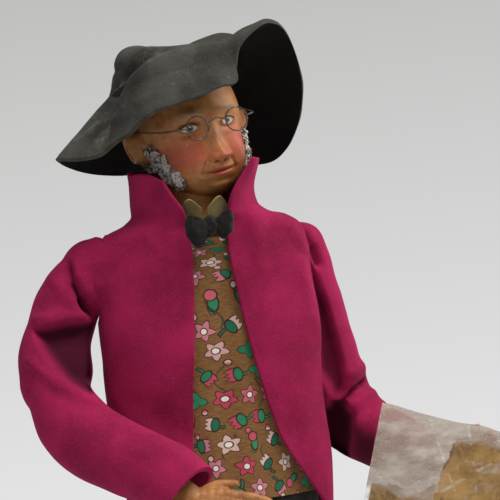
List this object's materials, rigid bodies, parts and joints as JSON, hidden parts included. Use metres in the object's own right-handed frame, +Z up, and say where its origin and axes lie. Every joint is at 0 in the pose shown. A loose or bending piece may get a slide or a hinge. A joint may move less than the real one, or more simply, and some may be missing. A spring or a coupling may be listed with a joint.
{
  "type": "composition doll",
  "caption": "Dressed composition character doll with whiskers and spectacles, floppy felt hat, felt tailcoat and printed waistcoat, holding a sheet in a clear sleeve.",
  "frame": {"origin": "on the floor, under the middle of the doll's bounding box", "axes": "+Z up through the doll, -Y the way the doll's chest faces, +X towards the doll's left hand and its sheet"},
  "size_m": [0.1794, 0.0956, 0.3182],
  "materials": {
    "composition": "painted, satin",
    "magenta_felt": "wool felt",
    "hat_felt": "dusty wool felt",
    "printed_cotton": "small floral print",
    "cream_cotton": "plain weave",
    "dark_cloth": "plain weave",
    "stuffing": "stuffed calico",
    "soft_wire": "drawn",
    "mohair": "curled fibre",
    "shoe_black": "polished",
    "parchment": "aged",
    "clear_film": "crumpled clear film"
  },
  "bodies": {
    "torso": {"coat_right_front": "magenta_felt", "coat_left_front": "magenta_felt", "coat_back": "magenta_felt", "waistcoat_front": "printed_cotton", "waistcoat_back": "printed_cotton", "trouser_seat": "dark_cloth", "torso_padding": "stuffing", "shoulder_wire": "soft_wire", "spine_wire": "soft_wire", "hip_wire": "soft_wire", "neck_drawstring": "cream_cotton", "shirt_collar": "cream_cotton", "bow_band": "dark_cloth", "bow_right_loop": "dark_cloth", "bow_left_loop": "dark_cloth", "bow_knot": "dark_cloth"},
    "head": {"head": "composition", "whiskers_right": "mohair", "whiskers_left": "mohair", "hair_back": "mohair", "spectacles": "soft_wire"},
    "hat": {"hat_crown": "hat_felt", "hat_brim": "hat_felt"},
    "right_upper_arm": {"right_upper_sleeve": "magenta_felt", "right_upper_arm": "stuffing", "right_upper_arm_wire": "soft_wire"},
    "right_forearm": {"right_lower_sleeve": "magenta_felt", "right_forearm": "stuffing", "right_forearm_wire": "soft_wire", "right_hand": "composition"},
    "left_upper_arm": {"left_upper_sleeve": "magenta_felt", "left_upper_arm": "stuffing", "left_upper_arm_wire": "soft_wire"},
    "left_forearm": {"left_lower_sleeve": "magenta_felt", "left_forearm": "stuffing", "left_forearm_wire": "soft_wire", "left_hand": "composition", "clear_sleeve": "clear_film", "parchment": "parchment"},
    "right_leg": {"right_trouser_leg": "dark_cloth", "right_leg": "stuffing", "right_leg_wire": "soft_wire", "right_shoe": "shoe_black", "right_sole": "shoe_black"},
    "left_leg": {"left_trouser_leg": "dark_cloth", "left_leg": "stuffing", "left_leg_wire": "soft_wire", "left_shoe": "shoe_black", "left_sole": "shoe_black"}
  },
  "joints": [
    {"name": "neck_turn", "type": "hinge", "parent": "torso", "child": "head", "pos_m": [-0.02019, 0.00309, 0.246], "axis": [0, 0, 1], "range_deg": [-35, 25]},
    {"name": "hat_lift", "type": "slide", "parent": "head", "child": "hat", "axis": [-0.0768, 0.2688, 0.9601], "range_m": [0, 0.04]},
    {"name": "right_shoulder", "type": "hinge", "parent": "torso", "child": "right_upper_arm", "pos_m": [-0.05719, 0.00609, 0.2375], "axis": [0, 1, 0], "range_deg": [0, 55]},
    {"name": "right_elbow", "type": "hinge", "parent": "right_upper_arm", "child": "right_forearm", "pos_m": [-0.07679, -0.0035, 0.20197], "axis": [-0.3132, -0.8591, 0.4047], "range_deg": [-50, 0]},
    {"name": "left_shoulder", "type": "hinge", "parent": "torso", "child": "left_upper_arm", "pos_m": [0.01681, 0.00609, 0.2375], "axis": [0, -1, 0], "range_deg": [0, 55]},
    {"name": "left_elbow", "type": "hinge", "parent": "left_upper_arm", "child": "left_forearm", "pos_m": [0.02621, 0.01366, 0.17811], "axis": [-0.8018, -0.5636, -0.1987], "range_deg": [-8, 30]},
    {"name": "right_hip", "type": "hinge", "parent": "torso", "child": "right_leg", "pos_m": [-0.03519, 0.00309, 0.132], "axis": [-1, 0, 0], "range_deg": [0, 70]},
    {"name": "left_hip", "type": "hinge", "parent": "torso", "child": "left_leg", "pos_m": [-0.00519, 0.00309, 0.132], "axis": [-1, 0, 0], "range_deg": [0, 70]}
  ]
}
